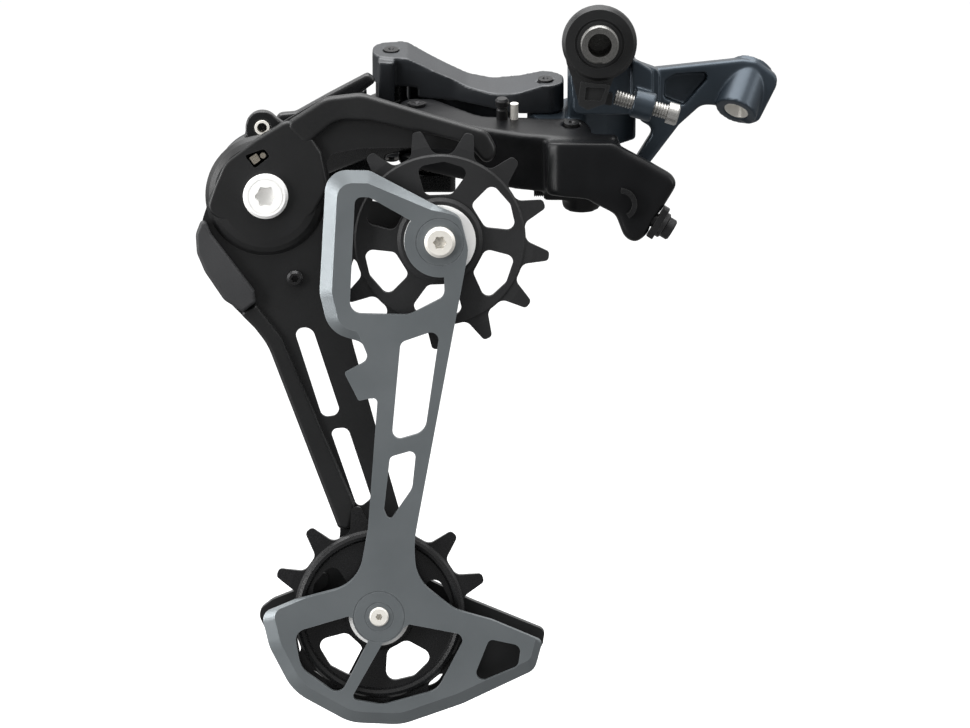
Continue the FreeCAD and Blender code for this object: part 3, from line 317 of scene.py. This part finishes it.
spring_wire = coated("oiled_spring_wire", dark=(0.16, 0.155, 0.15), light=(0.24, 0.235, 0.23),
                     worn=(0.4, 0.39, 0.38), roughness=0.28, spread=0.06, metallic=1.0,
                     grain=2600.0, bump=0.08, wear=0.3, radius=0.0002)
dress(["pin_bracket_inner", "pin_bracket_outer", "pin_knuckle_inner", "pin_knuckle_outer"],
      black_oxide)
dress(["circlip_bracket_outer", "circlip_knuckle_outer"], spring_wire)
dress(["limit_screws"], black_oxide)

# ---------------------------------------------------------------- springs
# Coiled from oiled wire: at the hanger, on the inner link's pin and inside the drum. The cage
# spring's bright end shows in its window. A black post and a bare pin stand on the inner link.

cut_wire = coated("cut_wire_end", dark=(0.56, 0.50, 0.40), light=(0.72, 0.66, 0.56),
                  worn=(0.85, 0.8, 0.7), roughness=0.30, spread=0.08, metallic=1.0,
                  grain=5200.0, bump=0.2, wear=0.3, radius=0.0002)
dress(["hanger_spring", "return_spring", "cage_spring"], spring_wire)
dress(["spring_end"], cut_wire)
dress(["spring_post"], black_oxide)
dress(["spring_pin"], bare_steel)

# ---------------------------------------------------------------- inner link
# A forged aluminium link and the cable lever in one piece, under a smooth thick black paint.
# The paint is heavy enough to round every edge and corner.

link_black = coated("smooth_black_paint", dark=(0.004, 0.0042, 0.0047), light=(0.007, 0.0073, 0.008),
                    worn=(0.035, 0.036, 0.038), roughness=0.33, spread=0.04, metallic=0.0,
                    grain=3400.0, bump=0.05, wear=0.4, radius=0.0004, specular=0.2)
dress(["inner_link"], link_black)
cast("inner_link", voxel=0.00045, passes=36)

# ---------------------------------------------------------------- outer link
# A forged aluminium link, scooped out in front, under a dark blue grey satin paint.
# It rides on its two pins above the inner link.

blue_grey = coated("dark_blue_grey_paint", dark=(0.018, 0.020, 0.023), light=(0.026, 0.029, 0.033),
                   worn=(0.11, 0.12, 0.13), roughness=0.36, spread=0.05, metallic=0.25,
                   grain=3600.0, bump=0.12, wear=0.5, radius=0.0004, specular=0.6)
dress(["outer_link"], blue_grey)
cast("outer_link", voxel=0.00035, passes=4)

# ---------------------------------------------------------------- front knuckle
# A die-cast aluminium drum with an arm to the link pins, painted satin black.
# A rubber ring seals it against the cage, and a steel eyelet lines its ear.

satin_black = coated("satin_black_paint", dark=(0.004, 0.0042, 0.0047), light=(0.007, 0.0073, 0.008),
                     worn=(0.045, 0.046, 0.048), roughness=0.27, spread=0.04, metallic=0.0,
                     grain=3400.0, bump=0.16, wear=0.5, radius=0.0004, specular=0.45)
seal_rubber = coated("seal_rubber", dark=(0.008, 0.008, 0.008), light=(0.014, 0.014, 0.014),
                     worn=(0.03, 0.03, 0.03), roughness=0.7, spread=0.06, metallic=0.0,
                     grain=1800.0, bump=0.2, wear=0.2)
dress(["knuckle_body"], satin_black)
cast("knuckle_body", voxel=0.00040, passes=4)
dress(["knuckle_seal"], seal_rubber)
dress(["ear_bushing"], bare_steel)

# ---------------------------------------------------------------- clutch
# A bare steel ring gripped by a sprung band and its clamp block, inside the drum.
# The painted cover with its gasket, zinc-plated screws and black lever closes it outboard.

zinc_plate = coated("bright_zinc", dark=(0.88, 0.875, 0.86), light=(0.97, 0.965, 0.95),
                    worn=(0.98, 0.98, 0.96), roughness=0.42, spread=0.14, metallic=0.12,
                    grain=2600.0, bump=0.35, wear=0.5, radius=0.0002)
dress(["clutch_ring"], bare_steel)
dress(["friction_band"], spring_wire)
dress(["band_clamp"], black_oxide)
dress(["clutch_cover"], blue_grey, soften=0.0004)
dress(["cover_gasket"], seal_rubber)
dress(["cover_screws"], zinc_plate)
dress(["clutch_lever"], black_coat, soften=0.0003)

# ---------------------------------------------------------------- cage
# Two pressed aluminium plates: the wheel-side one is anodised grey with bright cut edges, the
# other is coated black and carries a moulded pad. A plated axle and nut hold them to the drum.

cage_grey = coated("grey_anodised_plate", dark=(0.150, 0.166, 0.174), light=(0.182, 0.199, 0.208),
                   worn=(0.46, 0.48, 0.50), roughness=0.40, spread=0.05, metallic=0.6,
                   grain=5200.0, bump=0.16, wear=0.35, radius=0.00025)
pad_black = coated("pad_black", dark=(0.026, 0.0265, 0.028), light=(0.036, 0.0365, 0.038),
                   worn=(0.08, 0.08, 0.082), roughness=0.58, spread=0.06, metallic=0.0,
                   grain=3000.0, bump=0.25, wear=0.4, radius=0.0003, specular=0.35)
dress(["inner_cage_plate"], cage_grey)
dress(["outer_cage_plate"], black_coat)
dress(["side_pad"], pad_black)
dress(["cage_axle", "axle_nut"], zinc_plate)
dress(["stop_pin"], black_oxide)

# ---------------------------------------------------------------- pulleys
# Moulded resin: the guide pulley is matt, the tension pulley has a glossier skin.
# Each turns on a steel bush under a bare bolt, with plated dust caps on both faces.

pulley_resin = coated("matt_pulley_resin", dark=(0.012, 0.0122, 0.0128), light=(0.018, 0.0183, 0.019),
                      worn=(0.04, 0.04, 0.041), roughness=0.50, spread=0.08, metallic=0.0,
                      grain=2600.0, bump=0.25, wear=0.4, radius=0.0003, specular=0.28)
pulley_gloss = coated("gloss_pulley_resin", dark=(0.006, 0.006, 0.0065), light=(0.010, 0.010, 0.0105),
                      worn=(0.03, 0.03, 0.03), roughness=0.30, spread=0.08, metallic=0.0,
                      grain=2600.0, bump=0.16, wear=0.3, radius=0.0003, specular=0.4)
dress(["guide_pulley"], pulley_resin, soften=0.00025)
dress(["tension_pulley"], pulley_gloss, soften=0.00025)
dress(["guide_bush", "tension_bush", "guide_bolt", "tension_bolt"], bare_steel)
dress(["guide_caps", "tension_caps"], zinc_plate)
